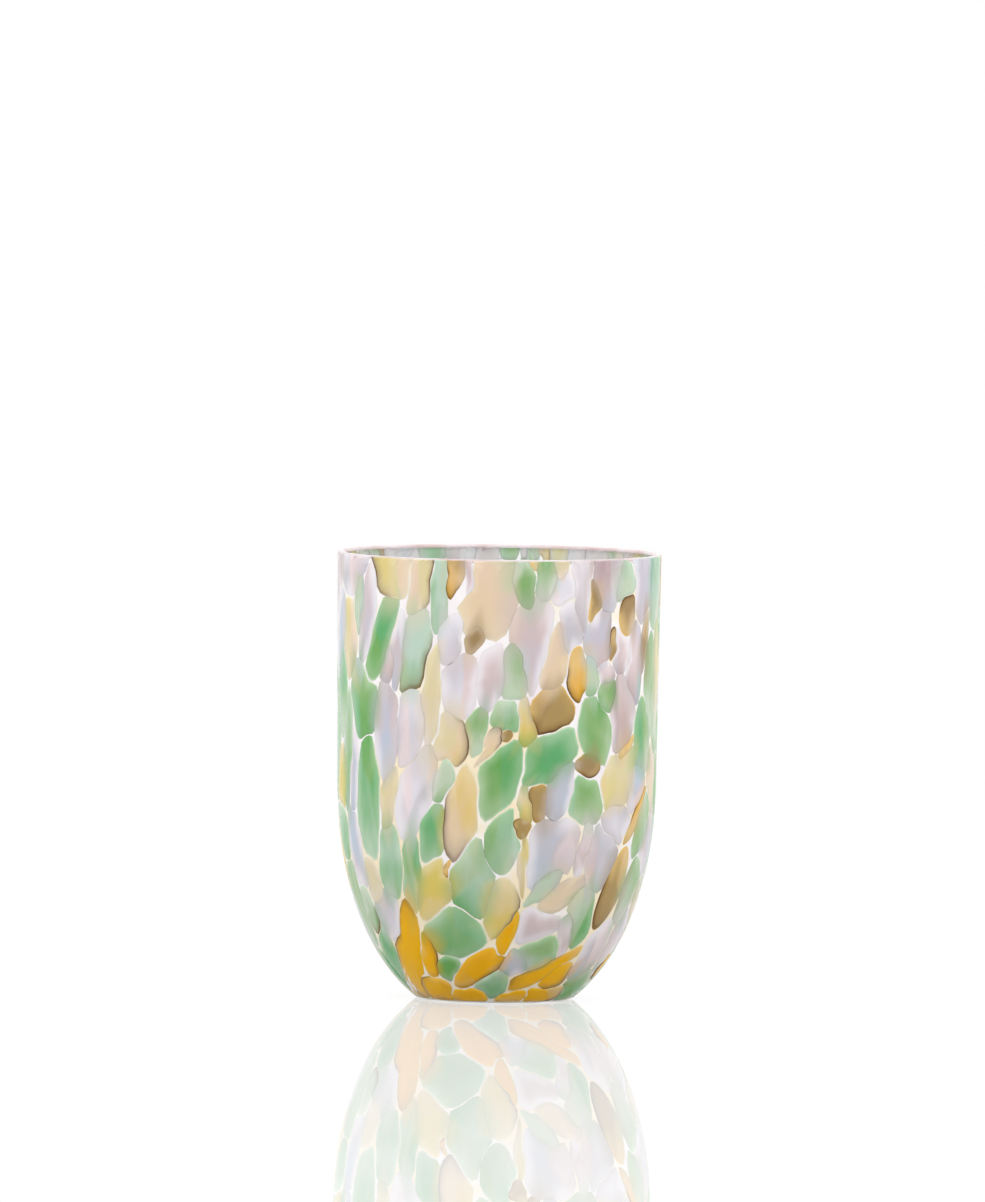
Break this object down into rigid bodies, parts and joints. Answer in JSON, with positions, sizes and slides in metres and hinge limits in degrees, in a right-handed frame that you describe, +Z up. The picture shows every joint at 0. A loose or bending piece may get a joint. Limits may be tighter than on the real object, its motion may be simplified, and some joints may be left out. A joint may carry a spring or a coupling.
{
  "type": "tumbler glass",
  "caption": "Mouth-blown tumbler with a near-straight wall, a rounded bowl and a small flat foot, its outside covered with coloured glass chips melted flush into the clear wall.",
  "frame": {"origin": "middle of the foot, on the surface that the glass stands on", "axes": "+Z up along the axis of the cup, -Y towards the side that the picture shows"},
  "size_m": [0.0724, 0.0724, 0.1],
  "materials": {
    "clear_glass": "clear, fire-polished",
    "green_glass": "transparent green, glossy",
    "straw_glass": "transparent straw to peach, glossy",
    "amber_glass": "transparent amber to brown, glossy",
    "lilac_glass": "milky pale lilac, glossy",
    "pink_glass": "milky pale pink, glossy"
  },
  "bodies": {
    "root": {"amber_chip_01": "amber_glass", "amber_chip_02": "amber_glass", "amber_chip_03": "amber_glass", "amber_chip_04": "amber_glass", "amber_chip_05": "amber_glass", "amber_chip_06": "amber_glass", "amber_chip_07": "amber_glass", "amber_chip_08": "amber_glass", "amber_chip_09": "amber_glass", "amber_chip_10": "amber_glass", "amber_chip_11": "amber_glass", "amber_chip_12": "amber_glass", "glass_body": "clear_glass", "green_chip_01": "green_glass", "green_chip_02": "green_glass", "green_chip_03": "green_glass", "green_chip_04": "green_glass", "green_chip_05": "green_glass", "green_chip_06": "green_glass", "green_chip_07": "green_glass", "green_chip_08": "green_glass", "green_chip_09": "green_glass", "green_chip_10": "green_glass", "green_chip_11": "green_glass", "green_chip_12": "green_glass", "green_chip_13": "green_glass", "green_chip_14": "green_glass", "green_chip_15": "green_glass", "green_chip_16": "green_glass", "green_chip_17": "green_glass", "green_chip_18": "green_glass", "green_chip_19": "green_glass", "green_chip_20": "green_glass", "green_chip_21": "green_glass", "green_chip_22": "green_glass", "green_chip_23": "green_glass", "lilac_chip_01": "lilac_glass", "lilac_chip_02": "lilac_glass", "lilac_chip_03": "lilac_glass", "lilac_chip_04": "lilac_glass", "lilac_chip_05": "lilac_glass", "lilac_chip_06": "lilac_glass", "lilac_chip_07": "lilac_glass", "lilac_chip_08": "lilac_glass", "pink_chip_01": "pink_glass", "pink_chip_02": "pink_glass", "straw_chip_01": "straw_glass", "straw_chip_02": "straw_glass", "straw_chip_03": "straw_glass", "straw_chip_04": "straw_glass", "straw_chip_05": "straw_glass", "straw_chip_06": "straw_glass", "straw_chip_07": "straw_glass", "straw_chip_08": "straw_glass", "straw_chip_09": "straw_glass", "straw_chip_10": "straw_glass", "straw_chip_11": "straw_glass", "straw_chip_12": "straw_glass", "straw_chip_13": "straw_glass"}
  },
  "joints": []
}
